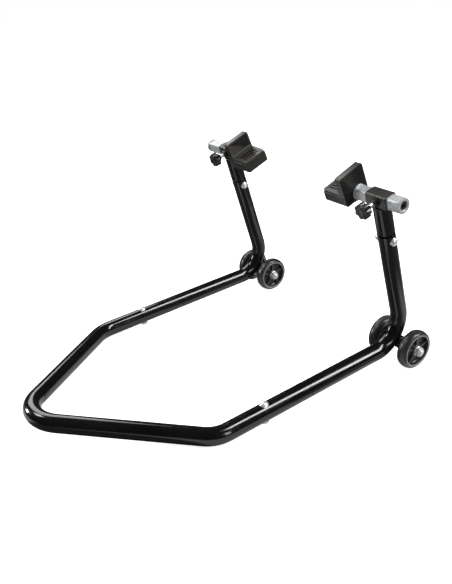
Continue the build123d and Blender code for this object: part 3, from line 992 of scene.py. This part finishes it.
# ---------------------------------------------------------------------- wheels
@dataclass
class Wheel:
    """Moulded wheel: crowned tread with a parting line, deep rims and spoked pockets.

    The tread's profile is (drop below the wheel's radius, height from its middle).
    """

    stand: Stand
    radius: float = 39.0
    half: float = 11.0
    tread: Profile = ((0.7, 0.0), (0.1, 0.5), (0.1, 2.0), (0.5, 4.6), (1.3, 7.2), (2.4, 9.0),
                      (3.9, 10.3), (5.4, 10.85), (5.9, 10.3), (6.6, 10.9))
    rim: float = 29.6
    web: float = 2.5
    hub: float = 12.0
    hub_half: float = 8.4
    bore: float = 7.55
    steps: int = 72
    # Where the proud ring is painted lighter, as a highlight.
    worn_radius: float = 33.6
    worn_height: float = 10.2
    spokes: int = 5
    spoke_turn: float = 18.0
    spoke_half: float = 1.9
    spoke_near: float = 1.5
    spoke_drop: float = 1.2
    spoke_round: float = 0.8
    spoke_overlap: float = 0.8

    def profile(self) -> list[tuple[float, float]]:
        """Lay out the wheel's section, from the parting line round the bore and back.

        Returns:
            The section's corners as (radius, height).
        """
        half = [(self.radius - drop, height) for drop, height in self.tread]
        half += [(self.rim + 1.4, self.half), (self.rim + 0.4, self.half - 0.3),
                 (self.rim, self.half - 1.1), (self.rim - 0.7, self.web + 1.4),
                 (self.rim - 2.0, self.web), (self.hub + 2.0, self.web),
                 (self.hub + 0.5, self.web + 1.4), (self.hub, self.hub_half - 0.8),
                 (self.hub - 0.8, self.hub_half), (self.bore + 0.4, self.hub_half),
                 (self.bore, self.hub_half - 0.4)]
        return half + [(radius, -height) for radius, height in reversed(half[1:])]

    def mark_worn_rims(self, shape: Shape) -> None:
        """Give the proud ring on each side the lighter rim finish, a painted highlight.

        Args:
            shape: The wheel's mesh.
        """
        for face in shape.bm.faces:
            middle = face.calc_center_median()
            ring = self.rim < middle.xy.length < self.worn_radius
            face.material_index = int(ring and abs(middle.z) > self.worn_height)

    def add_spokes(self, shape: Shape) -> None:
        """Stand the spokes in the pockets on both sides of the web.

        Args:
            shape: The wheel's mesh.
        """
        near = self.hub - self.spoke_overlap
        far = self.rim + self.spoke_overlap
        top = self.hub_half - self.spoke_drop
        for count in range(self.spokes):
            angle = math.tau * count / self.spokes + math.radians(self.spoke_turn)
            turn = Matrix.Rotation(angle, 4, "Z")
            for bottom, height in ((self.spoke_near, top), (-top, -self.spoke_near)):
                verts = shape.block((near, -self.spoke_half, bottom),
                                    (far, self.spoke_half, height), self.spoke_round)
                bmesh.ops.transform(shape.bm, matrix=turn, verts=verts)

    def build(self, side: Side, spot: str) -> None:
        """Build one wheel on its own body.

        Args:
            side: The wheel's side of the stand.
            spot: outer or inner.
        """
        tag = f"{side.tag}_{spot}"
        shape = Shape()
        shape.turn_profile(self.profile(), self.steps)
        self.mark_worn_rims(shape)
        self.add_spokes(shape)
        place = axes_at(self.stand.pivot(f"wheel_spin_{tag}"), ALONG_Y, ALONG_X)
        dress = [self.stand.finishes[FinishName.WHEEL], self.stand.finishes[FinishName.RIM]]
        shape.finish(f"moulded_wheel_{tag}", place, dress, f"wheel_{tag}",
                     FinishName.WHEEL.value, (f"wheel_{tag}",))


# ----------------------------------------------------------------------- knobs
@dataclass
class StarKnob:
    """Lobed hand knob with a dished crown and a tapered neck.

    Local Z points out along the clamp screw, from the sleeve's middle.
    """

    stand: Stand
    radius: float = 14.8
    lobes: int = 7
    lobe_steps: int = 18
    lobe_power: float = 1.5
    depth: float = 2.6
    near: float = 36.0
    far: float = 50.0
    flat_rim: float = 0.9
    sharp: float = 0.9
    reach: float = 3.4
    rim_round: float = 1.3
    rim_steps: int = 4
    neck: float = 6.0
    neck_radius: float = 7.4
    neck_steps: int = 40
    bore: float = 4.3
    crown: float = 0.9
    crown_steps: int = 48
    crease: float = 50.0

    def make_lobes(self, shape: Shape) -> None:
        """Make the lobed body and round its rims.

        Args:
            shape: The knob's mesh.
        """
        bmesh.ops.create_circle(shape.bm, cap_ends=True, segments=self.lobes * self.lobe_steps,
                                radius=self.radius)
        for vert in shape.bm.verts:
            angle = math.atan2(vert.co.y, vert.co.x)
            wave = 0.5 + 0.5 * math.cos(self.lobes * angle)
            hollow = self.depth * (1 - wave) ** self.lobe_power
            vert.co *= (self.radius - hollow) / vert.co.length
            vert.co.z = self.near
        bmesh.ops.inset_region(shape.bm, faces=shape.bm.faces[:], thickness=self.flat_rim,
                               depth=0.0, use_even_offset=True)
        drawn = bmesh.ops.extrude_face_region(shape.bm, geom=shape.bm.faces[:])["geom"]
        verts = [item for item in drawn if isinstance(item, bmesh.types.BMVert)]
        bmesh.ops.translate(shape.bm, vec=(0, 0, self.far - self.near - self.crown), verts=verts)
        rims = [edge for edge in shape.bm.edges
                if len(edge.link_faces) == 2 and edge.calc_face_angle(0.0) > self.sharp
                and abs(edge.verts[0].co.z - edge.verts[1].co.z) < CLOSE
                and edge.verts[0].co.xy.length > self.radius - self.reach]
        shape.soften(rims, self.rim_round, self.rim_steps)

    def make_neck(self, shape: Shape) -> None:
        """Spin the tapered neck under the lobes.

        Args:
            shape: The knob's mesh.
        """
        start, wide = self.near - self.neck, self.neck_radius
        shape.turn_profile([(self.bore, start), (wide - 1.1, start), (wide - 0.6, start + 0.5),
                            (wide, self.near - 1.2), (wide + 1.2, self.near + 0.4),
                            (self.bore, self.near + 0.4)], self.neck_steps)

    def make_crown(self, shape: Shape) -> None:
        """Spin the round, dished crown on top.

        Args:
            shape: The knob's mesh.
        """
        face = self.far - self.crown
        shape.turn_profile([(0.0, face - 0.9), (0.0, face - 0.5), (4.4, face - 0.5),
                            (5.4, self.far - 0.1), (6.2, self.far), (8.6, self.far),
                            (9.4, self.far - 0.5), (9.8, face - 0.9)], self.crown_steps)

    def build(self, side: Side) -> None:
        """Build one knob on its own body.

        Args:
            side: The knob's side of the stand.
        """
        shape = Shape()
        self.make_lobes(shape)
        self.make_neck(shape)
        self.make_crown(shape)
        middle = middle_of(f"clamp_sleeve_{side.tag}")
        place = axes_at(middle, ALONG_X, self.stand.screw_axis(side))
        shape.finish(f"hand_knob_{side.tag}", place, [self.stand.finishes[FinishName.KNOB]],
                     f"knob_{side.tag}", FinishName.KNOB.value, (f"star_knob_{side.tag}",),
                     self.crease)


# ----------------------------------------------------------------------- heads
@dataclass
class WeldBead:
    """A rippled weld bead laid in a ring, painted over."""

    stand: Stand
    sides: int = 8
    steps: int = 160
    flatness: float = 0.8
    pitch: float = 1.7
    fewest: int = 12
    swell: float = 0.16
    wander: float = 0.1
    waves: int = 3
    lift: float = 0.12
    squareness: float = 0.84
    crease: float = 80.0

    def lay(self, name: str, place: Matrix, radius: float, thick: float, body: str,
            corners: int = 0) -> None:
        """Lay one bead.

        Args:
            name: The piece's name.
            place: Axes at the ring's middle, Z along its axis.
            radius: The ring's radius.
            thick: The bead's own radius.
            body: The body it rides on.
            corners: Number of corners of a squarish ring, or 0 for a round one.
        """
        shape = Shape()
        angles = (math.tau * step / self.sides for step in range(self.sides))
        shape.turn_profile([(radius + thick * math.cos(angle),
                             thick * self.flatness * math.sin(angle)) for angle in angles],
                           self.steps)
        ripples = max(self.fewest, int(math.tau * radius / self.pitch))
        for vert in shape.bm.verts:
            angle = math.atan2(vert.co.y, vert.co.x)
            flat = vert.co.xy.length
            swell = (self.swell * thick * math.sin(ripples * angle)
                     + self.wander * thick * math.sin(self.waves * angle + radius))
            grow = (flat + swell) / flat
            if corners:
                turn = (angle % (math.tau / corners)) - math.pi / corners
                grow *= math.cos(math.pi / corners) / max(math.cos(turn), self.squareness)
            vert.co.x *= grow
            vert.co.y *= grow
            vert.co.z += self.lift * thick * math.cos(ripples * angle)
        shape.finish(name, place, [self.stand.finishes[FinishName.SATIN]], body,
                     FinishName.SATIN.value, (), self.crease)


@dataclass
class Head:
    """Weld beads and the bar's round end cap."""

    stand: Stand
    sleeve: float = 26.0
    post_bead: Span = (14.6, 2.0)
    post_gap: float = 0.6
    nut_bead: Span = (7.7, 1.3)
    nut_gap: float = 0.3
    flange_bead: Span = (11.6, 1.2)
    flange_gap: float = 3.3
    cap_radius: float = 14.0
    cap_thick: float = 6.0
    cap_steps: int = 64
    crease: float = 40.0

    def cap_profile(self) -> list[tuple[float, float]]:
        """Lay out the end cap's section, with its plug and the bolt's deep recess.

        Returns:
            The section's corners as (radius, height), with the end face at 0.
        """
        wide, thick = self.cap_radius, self.cap_thick
        return [(wide - 1.0, 0.0), (wide - 0.3, -0.3), (wide, -1.0), (wide, -thick + 0.8),
                (wide - 0.8, -thick), (8.8, -thick), (8.8, -15.9), (4.3, -15.9), (4.3, -9.6),
                (8.1, -9.6), (8.1, -1.0), (8.6, -0.3), (9.2, 0.0)]

    def build(self, side: Side) -> None:
        """Build one head's beads and cap.

        Args:
            side: The head's side of the stand.
        """
        tag = side.tag
        out = self.stand.screw_axis(side)
        up = Vector((0, out.z, -out.y))
        middle = middle_of(f"clamp_sleeve_{tag}")
        bead = WeldBead(self.stand)
        foot = middle - up * (self.sleeve / 2 + self.post_gap)
        bead.lay(f"sleeve_weld_{tag}", axes_at(foot, ALONG_X, up), *self.post_bead, "frame")
        front = middle + out * (self.sleeve / 2 + self.nut_gap)
        bead.lay(f"nut_weld_{tag}", axes_at(front, ALONG_X, out), *self.nut_bead, "frame")
        low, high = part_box(f"bar_cap_{tag}")
        end = (high.x if side is Side.RIGHT else low.x) / MM
        place = axes_at(Vector((end, middle.y, middle.z)), -out, side.outward)
        shape = Shape()
        shape.turn_profile(self.cap_profile(), self.cap_steps)
        shape.finish(f"end_cap_{tag}", place, [self.stand.finishes[FinishName.ZINC]],
                     f"bar_{tag}", FinishName.ZINC.value, (f"bar_cap_{tag}",), self.crease)
        low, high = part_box(f"bar_flange_{tag}")
        weld = (low.x if side is Side.RIGHT else high.x) / MM + side.value * self.flange_gap
        place = axes_at(Vector((weld, middle.y, middle.z)), out, side.outward)
        bead.lay(f"flange_weld_{tag}", place, *self.flange_bead, f"bar_{tag}", 4)


@dataclass
class AxleJoint:
    """Weld beads where the axle boss meets its web."""

    stand: Stand
    bead: Span = (13.2, 1.3)
    reach: float = 9.4

    def build(self, side: Side) -> None:
        """Lay one bead on each side of the web, round the boss.

        Args:
            side: The boss's side of the stand.
        """
        middle = middle_of(f"axle_boss_{side.tag}")
        pivot = self.stand.pivot(f"wheel_spin_{side.tag}_outer")
        for spot, outward in (("outer", side.value), ("inner", -side.value)):
            origin = Vector((middle.x + outward * self.reach, pivot.y, pivot.z))
            WeldBead(self.stand).lay(f"boss_weld_{side.tag}_{spot}",
                                     axes_at(origin, ALONG_Y, ALONG_X), *self.bead, "frame")


# ----------------------------------------------------------------------- scene
def dress_cad(frame: dict[str, Any], finishes: dict[FinishName, bpy.types.Material]) -> None:
    """Give every CAD node the finish that its material slot names.

    Args:
        frame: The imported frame.
        finishes: The material of each finish.
    """
    slots = {row["node"]: row["material_slot"] for row in frame["record"]["subparts"]}
    for node, piece in frame["nodes"].items():
        piece.data.materials.clear()
        piece.data.materials.append(finishes[FinishName(slots[node])])


def main() -> None:
    """Build the whole scene in order."""
    logging.basicConfig(level=logging.INFO, format="%(message)s")
    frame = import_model()
    studio = Studio()
    studio.place_camera()
    studio.build()
    finishes = {name: finish.build() for name, finish in FINISHES.items()}
    dress_cad(frame, finishes)
    stand = Stand(frame, finishes)
    for side in Side:
        Cradle(stand).build(side)
        for spot in ("outer", "inner"):
            Wheel(stand).build(side, spot)
        StarKnob(stand).build(side)
        Head(stand).build(side)
        AxleJoint(stand).build(side)


if __name__ == "__main__":
    main()
